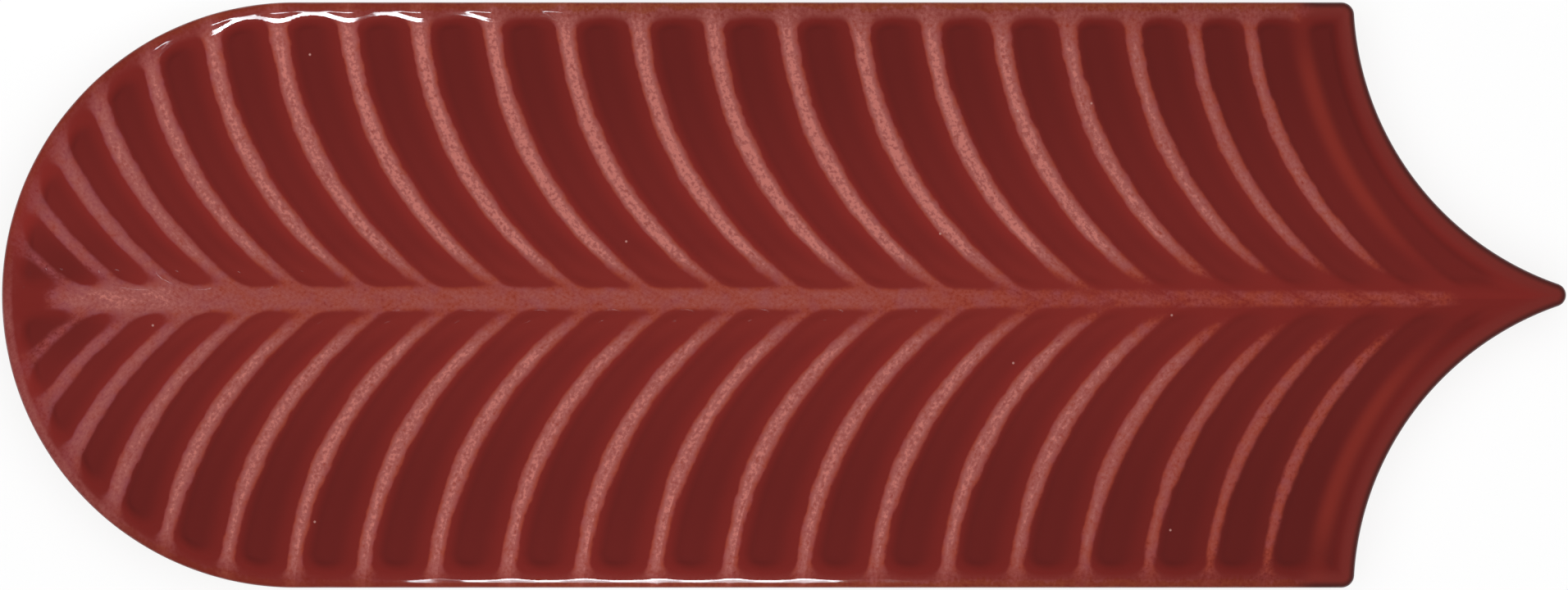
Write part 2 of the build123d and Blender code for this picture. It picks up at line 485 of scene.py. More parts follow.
def ring(plan, inset):
    """Points round the tile, drawn in by inset, with its roundings as much smaller."""
    corner = max(plan.body.corner_radius - inset, SMALLEST_ROUNDING)
    tip = max(plan.body.tip_radius - inset, SMALLEST_ROUNDING)
    return plan.outline(inset, corner, tip)


def triangulate(loops, filling, inside):
    """Even triangles through closed loops and loose points, kept where inside allows them."""
    edges = []
    first = 0
    for loop in loops:
        count = len(loop)
        edges += [(first + i, first + (i + 1) % count) for i in range(count)]
        first += count
    points = [Vector(p) for p in np.vstack([*loops, *filling]).tolist()]
    verts, _, faces, _, _, _ = delaunay_2d_cdt(points, edges, [], 0, SAME_POINT, False)
    flat = np.array([tuple(v) for v in verts])
    faces = np.array([f for f in faces if len(f) == 3])
    middle = flat[faces].mean(axis=1)
    return flat, faces[inside(middle)]


def slot_loop(start, end, y, half):
    """Points round a straight groove, spread along its long sides."""
    along = np.linspace(start, end, SLOT_POINTS)
    lower = np.stack([along, np.full(SLOT_POINTS, y - half)], axis=1)
    upper = np.stack([along[::-1], np.full(SLOT_POINTS, y + half)], axis=1)
    return np.vstack([lower, upper])


def back_slots(plan):
    """Start, end and middle line of every keying groove."""
    body = plan.body
    first_y = plan.half_width - body.back_border - body.groove_width / 2
    slots = []
    for i in range(body.groove_count):
        y = first_y * (2 * i / (body.groove_count - 1) - 1)
        outer_y = abs(y) + body.groove_width / 2
        round_reach = math.sqrt(max((plan.half_width - body.back_border) ** 2 - outer_y**2, 0.0))
        nest_reach = math.sqrt((plan.nest_radius + body.back_border) ** 2 - (plan.nest_y - outer_y) ** 2)
        slots.append((plan.round_x - round_reach, plan.nest_x - nest_reach, y))
    return slots


class MeshParts:
    """Vertices and faces gathered piece by piece."""

    def __init__(self):
        self.points = []
        self.distances = []
        self.triangles = []
        self.quads = []
        self.count = 0

    def add_points(self, flat, z, distance):
        """Adds points at a level or at levels of their own, and returns the first one's number."""
        first = self.count
        z = np.broadcast_to(z, len(flat))
        self.points.append(np.column_stack([flat, z]))
        self.distances.append(np.broadcast_to(distance, len(flat)))
        self.count += len(flat)
        return first

    def add_band(self, lower, upper, count):
        """Faces between two rings of as many points; the rings run clockwise seen from above."""
        i = np.arange(count)
        j = (i + 1) % count
        self.quads.append(np.stack([lower + i, upper + i, upper + j, lower + j], axis=1))

    def mesh(self, name):
        """One mesh of it all, which keeps each point's distance from the edge."""
        made = bpy.data.meshes.new(name)
        faces = [tuple(q) for q in np.vstack(self.quads).tolist()]
        faces += [tuple(t) for t in np.vstack(self.triangles).tolist()]
        made.from_pydata(np.vstack(self.points).tolist(), [], faces)
        layer = made.attributes.new("edge_distance", "FLOAT", "POINT")
        layer.data.foreach_set("value", np.concatenate(self.distances).astype(np.float32))
        return made


def add_sides(parts, plan):
    """Rings of points up the arris, the sides and the edge roll, with faces between them."""
    arris = plan.body.back_arris
    roll_z = plan.top - plan.body.edge_roll
    turn = np.linspace(0, math.pi / 2, ARRIS_POINTS)
    levels = [(arris * (1 - math.sin(a)), arris * (1 - math.cos(a)), OFF_FACE) for a in turn]
    levels += [(0.0, z, OFF_FACE) for z in np.linspace(arris, roll_z, SIDE_POINTS)[1:-1]]
    levels += [(inset, roll_z, inset) for inset in roll_insets(plan)]
    rings = []
    for inset, z, distance in levels:
        flat = ring(plan, inset)
        rings.append(parts.add_points(flat, z, distance))
    for lower, upper in zip(rings, rings[1:]):
        parts.add_band(lower, upper, len(flat))


def add_face(parts, plan, relief):
    """The flat face, with rings of points inside the rim and rows along the ribs and the midrib."""
    body = plan.body
    edge = roll_insets(plan)[-1]
    insets = np.arange(body.edge_roll + body.ring_step, relief.rim_reach, body.ring_step)
    rows = np.vstack([rib_points(plan, relief), midrib_points(plan, relief)])
    deep = plan.edge_distance(*rows.T) > insets[-1] + body.ring_step
    filling = np.vstack([*(ring(plan, inset) for inset in insets), rows[deep]])
    cells = np.round(filling / CLOSEST_POINTS).astype(int)
    filling = filling[np.unique(cells, axis=0, return_index=True)[1]]
    filling = filling[plan.edge_distance(*filling.T) > edge + 0.5 * body.ring_step]
    flat, faces = triangulate(
        [ring(plan, edge)], [filling], lambda m: plan.edge_distance(*m.T) > edge * JUST_INSIDE
    )
    distance = np.maximum(plan.edge_distance(*flat.T), edge)
    first = parts.add_points(flat, plan.top - body.edge_roll, distance)
    parts.triangles.append(faces + first)


def add_back(parts, plan):
    """The back, with a floor and leaning walls to every keying groove."""
    body = plan.body
    half = body.groove_width / 2
    draft = body.groove_draft
    loops = [ring(plan, body.back_arris)]
    floors = []
    for start, end, y in back_slots(plan):
        floors.append((start + draft, end - draft, y, half - draft))
        loops += [slot_loop(start, end, y, half), slot_loop(*floors[-1])]
    flat, faces = triangulate(
        loops, [], lambda m: plan.edge_distance(*m.T) > body.back_arris * JUST_INSIDE
    )
    height = np.zeros(len(flat))
    for start, end, y, half in floors:
        beyond = np.maximum(start - flat[:, 0], flat[:, 0] - end)
        on_floor = np.maximum(beyond, np.abs(flat[:, 1] - y) - half) < FLOOR_REACH
        height[on_floor] = body.groove_depth
    first = parts.add_points(flat, height, OFF_FACE)
    parts.triangles.append(faces[:, ::-1] + first)


def blank_mesh(plan, relief):
    """The tile before its relief is raised."""
    parts = MeshParts()
    add_sides(parts, plan)
    add_face(parts, plan, relief)
    add_back(parts, plan)
    return parts.mesh("tile_blank")


def add_input(tree, name, kind="NodeSocketFloat"):
    tree.interface.new_socket(name, in_out="INPUT", socket_type=kind)


def relief_inputs(plan, relief):
    """Named inputs of the relief tree and their values."""
    start, a, b, c = rib_law(relief)
    return {
        "Top": plan.top,
        "Edge roll": plan.body.edge_roll,
        "Half length": plan.end_x,
        "Hollow depth": relief.hollow_depth,
        "First rib": start,
        "Pitch": a,
        "Pitch growth": b,
        "Pitch bend": c,
        "Last rib": float(relief.rib_count - 1),
        "Last rib share": relief.last_rib_share,
        "Fading ribs": float(relief.fading_ribs + 1),
        "Sinking ribs": float(relief.sinking_ribs),
        "Rib arc radius": relief.arc_radius,
        "Rib arc offset": relief.arc_offset,
        "Stagger": relief.stagger,
        "Crest half": relief.crest_half,
        "Rib drop": relief.rib_drop,
        "Low share": relief.low_share,
        "Rim width": relief.rim_width,
        "Rim reach": relief.rim_reach,
        "Rim sag": relief.rim_sag,
        "Sag start": relief.sag_start,
        "Sag end": relief.sag_end,
        "Scallop": relief.scallop,
        "Shoulder drop": relief.shoulder_drop,
        "Shoulder start": relief.shoulder_start,
        "Shoulder end": relief.shoulder_end,
        "Shoulder scallop": relief.shoulder_scallop,
        "Rim dip": relief.rim_dip,
        "Dip start": relief.dip_start,
        "Dip full": relief.dip_full,
        "Dip turn": relief.dip_turn,
        "Lower dip": relief.lower_dip,
        "Midrib offset": relief.midrib_offset,
        "Midrib round end": relief.midrib_round_end / 2,
        "Midrib point end": relief.midrib_point_end / 2,
        "Midrib flat": relief.midrib_flat,
        "Midrib reach": relief.midrib_reach,
    }


def rib_height(recipe, given, number):
    """Height of a rib, from 0 to 1: the first ones grow out of the round end, the last ones sink."""
    grown = recipe.ramp(recipe.plus(number, 1.0), 0.0, given["Fading ribs"])
    sinking_from = recipe.minus(given["Last rib"], given["Sinking ribs"])
    sunk = recipe.ramp(number, sinking_from, given["Last rib"], 1.0, given["Last rib share"], "LINEAR")
    begun = recipe.math("GREATER_THAN", number, -0.5)
    not_past = recipe.math("LESS_THAN", number, recipe.plus(given["Last rib"], 0.5))
    return recipe.times(grown, sunk, begun, not_past)


def rib_numbers(recipe, given, x, across):
    """Number of the rib at a point, with the share of the way to the next one, and the pitch there."""
    to_centre = recipe.minus(given["Rib arc offset"], recipe.math("ABSOLUTE", across))
    radius = given["Rib arc radius"]
    squared = recipe.minus(recipe.times(radius, radius), recipe.times(to_centre, to_centre))
    lean = recipe.minus(radius, recipe.math("SQRT", squared))
    shift = recipe.times(recipe.math("LESS_THAN", across, 0.0), given["Stagger"])
    along = recipe.minus(recipe.minus(x, lean), recipe.plus(given["First rib"], shift))

    # The cubic is solved in steps along its slope, from a guess at an even pitch
    number = recipe.math("DIVIDE", along, recipe.times(given["Pitch"], PITCH_GUESS))
    for _ in range(CUBIC_STEPS):
        bend = recipe.math("MULTIPLY_ADD", given["Pitch bend"], number, given["Pitch growth"])
        place = recipe.times(number, recipe.math("MULTIPLY_ADD", bend, number, given["Pitch"]))
        pitch = recipe.times(given["Pitch bend"], number, 3.0)
        pitch = recipe.math("MULTIPLY_ADD", given["Pitch growth"], 2.0, pitch)
        pitch = recipe.math("MULTIPLY_ADD", pitch, number, given["Pitch"])
        number = recipe.minus(number, recipe.math("DIVIDE", recipe.minus(place, along), pitch))
    return number, pitch


def raise_ribs(recipe, given, number, pitch):
    """How deep a point lies between its two ribs, from 0 to 1, and how near a rib it is."""
    rib = recipe.math("FLOOR", number)
    share_past = recipe.minus(number, rib)
    steep_reach = recipe.times(pitch, given["Low share"])
    fall = recipe.ramp(recipe.times(share_past, pitch), given["Crest half"], steep_reach)
    to_next = recipe.times(recipe.rest(share_past), pitch)
    rise = recipe.ramp(to_next, given["Crest half"], recipe.minus(pitch, steep_reach))
    height = rib_height(recipe, given, rib)
    next_height = rib_height(recipe, given, recipe.plus(rib, 1.0))
    past = recipe.math("MULTIPLY_ADD", height, recipe.minus(fall, 1.0), 1.0)
    before = recipe.math("MULTIPLY_ADD", next_height, recipe.minus(rise, 1.0), 1.0)
    depth = recipe.times(past, before)
    depth = recipe.math("MULTIPLY_ADD", recipe.rest(given["Rib drop"]), depth, given["Rib drop"])

    from_middle = recipe.minus(recipe.times(share_past, 2.0), 1.0)
    past_middle = recipe.math("GREATER_THAN", from_middle, 0.0)
    nearer = recipe.math("MULTIPLY_ADD", past_middle, recipe.minus(next_height, height), height)
    squared = recipe.times(from_middle, from_middle)
    return depth, recipe.times(squared, recipe.minus(2.0, squared), nearer)


def face_height(recipe, given, inset, beside_rib, bowed, pool):
    """Level of the glazed face: the edge's roll, its shoulder, the sag toward it and the hollows."""
    roll = given["Edge roll"]
    from_top = recipe.minus(roll, recipe.math("MINIMUM", inset, roll))
    left = recipe.minus(recipe.times(roll, roll), recipe.times(from_top, from_top))
    rolled = recipe.minus(roll, recipe.math("SQRT", recipe.math("MAXIMUM", left, 0.0)))
    sag = recipe.ramp(bowed, given["Sag start"], given["Sag end"], given["Rim sag"], 0.0, "LINEAR")
    shifted = recipe.minus(inset, recipe.times(beside_rib, given["Shoulder scallop"]))
    shoulder = recipe.ramp(
        shifted, given["Shoulder start"], given["Shoulder end"], given["Shoulder drop"], 0.0, "LINEAR"
    )
    hollow = recipe.times(pool, given["Hollow depth"])
    return recipe.minus(given["Top"], recipe.plus(rolled, sag, hollow, shoulder))


def rim_dip(recipe, given, inset, across, beside_rib):
    """How much lower the rim lies over a hollow, less so on the lower half of the leaf."""
    near_rim = recipe.ramp(inset, given["Dip start"], given["Dip full"])
    lower_turn = recipe.times(given["Dip turn"], -1.0)
    by_half = recipe.ramp(across, lower_turn, given["Dip turn"], given["Lower dip"], 1.0)
    return recipe.times(recipe.rest(beside_rib), near_rim, given["Rim dip"], by_half)


def keep_attribute(recipe, geometry, name, value):
    kept = recipe.node("GeometryNodeStoreNamedAttribute", data_type="FLOAT", domain="POINT")
    kept.inputs["Name"].default_value = name
    recipe.wire(geometry, kept.inputs["Geometry"])
    recipe.wire(value, kept.inputs["Value"])
    return kept.outputs[0]


def relief_tree(inputs, material):
    """Geometry Nodes that raise the leaf's ribs, midrib and rim on the blank by rule."""
    tree = bpy.data.node_groups.new("Leaf relief", "GeometryNodeTree")
    add_input(tree, "Blank", "NodeSocketGeometry")
    for name in inputs:
        add_input(tree, name)
    tree.interface.new_socket("Tile", in_out="OUTPUT", socket_type="NodeSocketGeometry")
    recipe = Recipe(tree)
    entry = recipe.node("NodeGroupInput")
    given = {name: entry.outputs[name] for name in inputs}
    split = recipe.node("ShaderNodeSeparateXYZ")
    recipe.wire(recipe.node("GeometryNodeInputPosition").outputs[0], split.inputs[0])
    x, y, _ = split.outputs
    distance = recipe.node("GeometryNodeInputNamedAttribute", data_type="FLOAT")
    distance.inputs["Name"].default_value = "edge_distance"
    inset = distance.outputs["Attribute"]

    across = recipe.minus(y, given["Midrib offset"])
    number, pitch = rib_numbers(recipe, given, x, across)
    depth, beside_rib = raise_ribs(recipe, given, number, pitch)
    bowed = recipe.minus(inset, recipe.times(given["Scallop"], beside_rib))

    half = given["Half length"]
    midrib_half = recipe.ramp(
        x, recipe.times(half, -1.0), half, given["Midrib round end"], given["Midrib point end"], "LINEAR"
    )
    flat_top = recipe.times(midrib_half, given["Midrib flat"])
    foot = recipe.plus(midrib_half, given["Midrib reach"])
    beside_midrib = recipe.ramp(recipe.math("ABSOLUTE", across), flat_top, foot)
    inside_rim = recipe.ramp(bowed, given["Rim width"], given["Rim reach"])
    pool = recipe.times(depth, beside_midrib, inside_rim)

    on_face = recipe.math("GREATER_THAN", inset, OFF_FACE / 2)
    dip = rim_dip(recipe, given, inset, across, beside_rib)
    level = recipe.minus(face_height(recipe, given, inset, beside_rib, bowed, pool), dip)
    combine = recipe.node("ShaderNodeCombineXYZ")
    for value, socket in zip((x, y, level), combine.inputs):
        recipe.wire(value, socket)
    tile = keep_attribute(recipe, entry.outputs["Blank"], "glaze_pool", recipe.times(pool, on_face))
    tile = keep_attribute(recipe, tile, "rib_number", number)
    tile = keep_attribute(recipe, tile, "rib_pitch", pitch)
    raised = recipe.node("GeometryNodeSetPosition")
    recipe.wire(tile, raised.inputs["Geometry"])
    recipe.wire(on_face, raised.inputs["Selection"])
    recipe.wire(combine.outputs[0], raised.inputs["Position"])
    merged = recipe.node("GeometryNodeMergeByDistance")
    recipe.wire(raised.outputs[0], merged.inputs["Geometry"])
    merged.inputs["Distance"].default_value = MERGE_DISTANCE
    realized = recipe.node("GeometryNodeRealizeInstances")
    recipe.wire(merged.outputs[0], realized.inputs[0])
    finished = recipe.node("GeometryNodeSetMaterial")
    recipe.wire(realized.outputs[0], finished.inputs["Geometry"])
    finished.inputs["Material"].default_value = material
    leave = recipe.node("NodeGroupOutput")
    recipe.wire(finished.outputs[0], leave.inputs[0])
    return tree


def set_inputs(modifier, values):
    """Gives each named input its value, by the identifier of its socket."""
    for item in modifier.node_group.interface.items_tree:
        if item.item_type == "SOCKET" and item.name in values:
            modifier[item.identifier] = values[item.name]


def plain_mesh(piece, name):
    """The modified piece as a plain mesh; its modifiers are removed."""
    bpy.context.view_layer.update()
    graph = bpy.context.evaluated_depsgraph_get()
    mesh = bpy.data.meshes.new_from_object(piece.evaluated_get(graph))
    mesh.name = name
    piece.modifiers.clear()
    old = piece.data
    piece.data = mesh
    bpy.data.meshes.remove(old)
    return mesh


class LeafSpot:
    """Where a shaded point lies: on the tile, off its midrib, inside its edge and among its ribs."""

    def __init__(self, recipe, relief):
        self.place = recipe.node("ShaderNodeTexCoord").outputs["Object"]
        split = recipe.node("ShaderNodeSeparateXYZ")
        recipe.wire(self.place, split.inputs[0])
        self.x, self.y, self.z = split.outputs
        self.from_end = recipe.minus(self.x, LOW.x)
        across = recipe.minus(self.y, relief.midrib_offset)
        self.away = recipe.math("ABSOLUTE", across)
        self.lower = recipe.math("LESS_THAN", across, 0.0)
        self.inset = recipe.attribute("edge_distance")
        self.pool = recipe.attribute("glaze_pool")
        self.number = recipe.attribute("rib_number")
        self.pitch = recipe.attribute("rib_pitch")


def round_end_mauve(recipe, spot):
    """Where the edge of the round end is mauve, from 0 to 1."""
    return recipe.times(recipe.ramp(spot.x, *ROUND_END), recipe.ramp(spot.y, 14.0 * MM, -6.0 * MM))


def rib_strength(recipe, look, spot):
    """How thin the glaze gets over a rib: by its number, its half of the leaf and the place along it."""
    grown = recipe.ramp(spot.number, -0.2, 4.5, curve="LINEAR")
    first = recipe.ramp(spot.number, 4.0, 10.0, look.first_thin, 1.0)
    last = recipe.ramp(spot.number, 15.5, 21.5, 1.0, look.last_thin)
    beside_end = recipe.ramp(spot.number, 21.2, 21.7, 1.0, 0.0)
    lower_first = recipe.ramp(spot.number, 5.0, 10.0, 0.0, 0.2)
    lower_last = recipe.ramp(spot.number, 16.0, 21.0, 0.0, 0.25)
    lost_below = recipe.times(spot.lower, recipe.plus(lower_first, lower_last))
    rib_start = recipe.ramp(spot.number, 14.0, 20.0, 0.0, 3.5 * MM)
    rib_full = recipe.plus(rib_start, 9.0 * MM)
    at_start = recipe.ramp(spot.number, 2.0, 6.0, 0.6, 0.0)
    near_midrib = recipe.ramp(spot.away, rib_start, rib_full, at_start, 1.0, "LINEAR")
    near_rim = recipe.ramp(spot.inset, 9.0 * MM, 3.5 * MM)
    lost_at_rim = recipe.times(near_rim, recipe.ramp(spot.number, 12.0, 20.0, 0.18, 0.5))
    strength = recipe.times(grown, first, last, beside_end, near_midrib)
    return recipe.times(strength, recipe.rest(lost_below), recipe.rest(lost_at_rim))


def rim_strength(recipe, look, spot, upper):
    """How thin the glaze gets along the rim: more so on the upper side and at the very edge."""
    after_round_end = recipe.ramp(spot.x, -70.0 * MM, -35.0 * MM, 0.4, 1.0)
    before_point = recipe.ramp(spot.x, 40.0 * MM, 100.0 * MM, 1.0, 0.8)
    along = recipe.times(after_round_end, before_point)
    # On the upper side the rim is thinner, partly a painted highlight for the pale lines along that edge.
    on_top = recipe.times(along, recipe.math("MULTIPLY_ADD", upper, look.upper_thin_and_glint, look.rim_thin))
    at_edge = recipe.times(along, recipe.ramp(spot.inset, 0.9 * MM, 2.2 * MM, look.edge_thin, 0.0))
    round_edge = recipe.ramp(spot.inset, 2.2 * MM, 1.2 * MM, 0.0, look.round_thin)
    at_round_end = recipe.times(round_end_mauve(recipe, spot), round_edge)
    strength = recipe.math("MAXIMUM", recipe.math("MAXIMUM", on_top, at_edge), at_round_end)
    return recipe.times(strength, recipe.ramp(spot.from_end, *HOLLOW_ENDS, 1.0, 0.15))


def midrib_strength(recipe, look, spot):
    """How thin the glaze gets over the midrib: most near its start, gone before the point."""
    start = recipe.ramp(spot.from_end, 5.8 * MM, 14.5 * MM, 0.0, look.midrib_thin)
    after_start = recipe.ramp(spot.from_end, 20.0 * MM, 40.0 * MM, 1.0, 0.395)
    past_middle = recipe.ramp(spot.from_end, 145.0 * MM, 185.0 * MM, 1.0, 0.46)
    before_point = recipe.ramp(spot.from_end, 243.0 * MM, 252.0 * MM, 1.0, 0.0)
    return recipe.times(start, after_start, past_middle, before_point)


def rib_bands(recipe, look, spot):
    """How far a point lies beyond the thin glaze of the rib before it and of the rib after it."""
    from_waist = recipe.math("ABSOLUTE", recipe.minus(spot.away, look.waist_place))
    waist = recipe.ramp(from_waist, 0.0, look.waist_reach, look.rib_waist, 1.0)
    lower_loss = recipe.times(spot.lower, recipe.ramp(spot.away, 28.0 * MM, 46.0 * MM, 0.0, 0.25))
    last_ribs = recipe.ramp(spot.number, 16.0, 21.0, 1.0, 0.8)
    half = recipe.times(recipe.minus(waist, lower_loss), last_ribs, look.rib_band)

    # Halfway along the leaf a band leans back over the gentle side of its rib
    from_middle = recipe.math("DIVIDE", recipe.minus(spot.number, 11.0), 9.0)
    shift = recipe.math("MULTIPLY_ADD", recipe.times(from_middle, from_middle), 1.0 * MM, -look.band_lean)
    shift = recipe.math("MINIMUM", shift, 0.25 * MM)
    past = recipe.math("FRACT", spot.number)
    after = recipe.minus(recipe.times(past, spot.pitch), recipe.plus(half, shift))
    before = recipe.minus(recipe.times(recipe.rest(past), spot.pitch), recipe.minus(half, shift))
    web = recipe.ramp(spot.away, 3.0 * MM, 9.0 * MM, 0.35, 1.0)
    return recipe.times(after, 0.75), recipe.times(before, web)


def rim_band(recipe, look, spot, upper):
    """How far a point lies inside the thin glaze of the rim, which reaches further in at a rib."""
    cusp = recipe.minus(recipe.times(recipe.math("FRACT", spot.number), 2.0), 1.0)
    # On the upper side the thin rim reaches further in, partly as a painted highlight.
    reach = recipe.math("MULTIPLY_ADD", upper, look.upper_rim_and_glint, look.rim_band)
    reach = recipe.math("MULTIPLY_ADD", recipe.times(cusp, cusp), look.rim_cusp, reach)
    at_ends = recipe.ramp(spot.from_end, *HOLLOW_ENDS, 1.0, 0.55)
    return recipe.minus(spot.inset, recipe.times(reach, at_ends))


def midrib_band(recipe, look, relief, spot):
    """How far a point lies beyond the thin glaze of the midrib."""
    first_half = relief.midrib_round_end / 2
    last_half = relief.midrib_point_end / 2
    half = recipe.ramp(spot.from_end, 0.0, HIGH.x - LOW.x, first_half, last_half, "LINEAR")
    grown = recipe.ramp(spot.from_end, 5.0 * MM, 32.0 * MM, 0.45, 1.0)
    return recipe.minus(spot.away, recipe.times(recipe.plus(half, look.midrib_spill), grown))


def thin_glaze(recipe, look, relief, spot, wander):
    """Where the glaze is thin, from 0 to 1, and how much of that belongs to the rim."""
    upper = recipe.ramp(spot.y, 34.0 * MM, 47.0 * MM)
    beyond = (
        *rib_bands(recipe, look, spot),
        rim_band(recipe, look, spot, upper),
        midrib_band(recipe, look, relief, spot),
    )
    on_rib = rib_strength(recipe, look, spot)
    on_rim = rim_strength(recipe, look, spot, upper)
    strengths = (on_rib, on_rib, on_rim, midrib_strength(recipe, look, spot))
    begun = recipe.ramp(spot.number, -0.5, 0.8)
    exists = recipe.times(begun, recipe.ramp(spot.number, 22.2, 22.6, 1.0, 0.0))
    blend = recipe.ramp(spot.away, 4.0 * MM, 16.0 * MM, 1.1 * MM, look.band_blend)
    blend = recipe.plus(blend, recipe.ramp(spot.number, 1.0, 6.0, 1.7 * MM, 0.0))

    # Bands that meet are joined with a rounding, and each counts by how near it is
    weights = []
    for distance, counts in zip(beyond, (exists, exists, 1.0, 1.0)):
        near = recipe.math("MAXIMUM", recipe.minus(blend, distance), 0.0)
        weights.append(recipe.times(near, near, counts))
    total = recipe.math("MAXIMUM", recipe.plus(*weights), 1e-12)
    strength = 0.0
    for weight, thinness in zip(weights, strengths):
        strength = recipe.math("MULTIPLY_ADD", weight, thinness, strength)
    strength = recipe.math("DIVIDE", strength, total)
    edge = recipe.minus(blend, recipe.math("SQRT", total))
    edge = recipe.math("MULTIPLY_ADD", wander, look.band_wander, edge)
    inside = recipe.ramp(edge, -look.band_soft, look.band_soft, 1.0, 0.0)
    return recipe.times(inside, strength), recipe.math("DIVIDE", weights[2], total)


def pooled_glaze(recipe, look, spot, cloud):
    """Glaze of the hollows: dark where it pools, warm beside the midrib, with painted shade that dims it
    toward the sides, the lower half and the point.
    """
    depth = recipe.math("MULTIPLY_ADD", cloud, 0.12, spot.pool)
    glaze = recipe.blend(recipe.ramp(depth, 0.16, 0.85), look.shoulder, look.pool)
    beside_midrib = recipe.ramp(spot.away, 2.5 * MM, 10.0 * MM, 1.0, 0.0)
    before_point = recipe.ramp(spot.x, 20.0 * MM, 110.0 * MM, 1.0, 0.3)
    after_round_end = recipe.ramp(spot.x, *ROUND_END, 1.0, 0.15)
    glaze = recipe.blend(recipe.times(beside_midrib, before_point, after_round_end), glaze, look.warm)

    # Painted shade: the glaze is scaled darker toward the sides, on the lower half and toward the point,
    # where less light fell. Toward the sides it also stands for glaze pooled deeper at the outer ends. Near
    # the start of the midrib it is darker as well.
    outward = recipe.math("MULTIPLY_ADD", spot.lower, 6.0 * MM, spot.away)
    shade_toward_side = recipe.ramp(outward, 10.0 * MM, 42.0 * MM, 1.0, 0.75)
    darkest_shade = recipe.math("MULTIPLY_ADD", spot.lower, -0.08, 0.85)
    shade_toward_point = recipe.ramp(spot.x, 40.0 * MM, 120.0 * MM, 1.0, darkest_shade)
    round_end_loss = recipe.ramp(spot.x, -110.0 * MM, -123.0 * MM, 0.0, 0.19)
    start_loss = recipe.times(round_end_loss, recipe.ramp(spot.away, 14.0 * MM, 5.0 * MM))
    shaded = recipe.node("ShaderNodeVectorMath", operation="SCALE")
    recipe.wire(glaze, shaded.inputs[0])
    recipe.wire(recipe.times(shade_toward_side, shade_toward_point, recipe.rest(start_loss)), shaded.inputs["Scale"])
    return shaded.outputs[0]


def end_glaze(recipe, look, relief, spot, glaze):
    """The glaze made redder along the hollow end arcs and over the low last rib."""
    at_end_arc = recipe.times(recipe.ramp(spot.x, *END_ARCS), recipe.ramp(spot.inset, 3.6 * MM, 1.5 * MM))
    glaze = recipe.blend(at_end_arc, glaze, look.end_red)
    ribs_off = recipe.math("ABSOLUTE", recipe.minus(spot.number, relief.rib_count - 1.0))
    ridge = recipe.times(
        recipe.ramp(recipe.times(ribs_off, spot.pitch), 2.6 * MM, 0.2 * MM, 0.0, 0.55),
        recipe.ramp(spot.away, 4.0 * MM, 18.0 * MM),
        recipe.ramp(spot.away, 36.0 * MM, 46.0 * MM, 1.0, 0.3),
    )
    return recipe.blend(ridge, glaze, look.ridge_red)


def rim_colours(recipe, look, spot, glaze, thin, wander):
    """The glaze where it thins along the rim: brown at the very edge, mauve elsewhere."""
    ragged = recipe.math("MULTIPLY_ADD", wander, 3.0 * MM, spot.inset)
    brown = recipe.ramp(ragged, 0.9 * MM, 1.6 * MM, 1.0, 0.1)
    brown = recipe.times(brown, recipe.rest(round_end_mauve(recipe, spot)))
    rim_glaze = recipe.blend(brown, look.rim_mauve, look.edge_brown)
    return recipe.blend(recipe.ramp(thin, 0.0, 0.9, curve="LINEAR"), glaze, rim_glaze)


def rib_colours(recipe, look, spot, glaze, thin):
    """The glaze where it thins over a rib: an orange or mauve fringe, then pink."""
    mauve = recipe.ramp(spot.x, -125.0 * MM, -80.0 * MM, 0.8, 0.2)
    patches = recipe.noise(spot.place, look.mauve_scale)
    mauve = recipe.math("MULTIPLY_ADD", patches, 2.4, mauve, clamp=True)
    fringe = recipe.blend(mauve, look.fringe, look.mauve)
    glaze = recipe.blend(recipe.ramp(thin, 0.02, 0.22), glaze, fringe)
    glaze = recipe.blend(recipe.ramp(thin, 0.16, 0.75, curve="LINEAR"), glaze, look.half_thin)
    return recipe.blend(recipe.ramp(thin, 0.75, 1.05, curve="LINEAR"), glaze, look.thin)


def glinting_pits(recipe, look, spot):
    """Where a pit opens in the glaze, from 0 to 1: in the middle of a few cells. Its pale colour is partly
    the body showing and partly a painted glint.
    """
    cells = recipe.node("ShaderNodeTexVoronoi", voronoi_dimensions="2D")
    recipe.wire(spot.place, cells.inputs["Vector"])
    cells.inputs["Scale"].default_value = look.pit_scale
    chance = recipe.node("ShaderNodeSeparateXYZ")
    recipe.wire(cells.outputs["Color"], chance.inputs[0])
    rare = recipe.math("GREATER_THAN", chance.outputs[0], 1.0 - look.pit_share)
    return recipe.times(rare, recipe.ramp(cells.outputs["Distance"], 0.009, 0.020, 0.8, 0.0))


def blank_material(name):
    """A material with an empty tree, and the recipe that fills it."""
    material = bpy.data.materials.new(name)
    material.use_nodes = True
    material.node_tree.nodes.clear()
    return material, Recipe(material.node_tree)


def finish_material(recipe, shader):
    out = recipe.node("ShaderNodeOutputMaterial")
    recipe.wire(shader.outputs[0], out.inputs["Surface"])


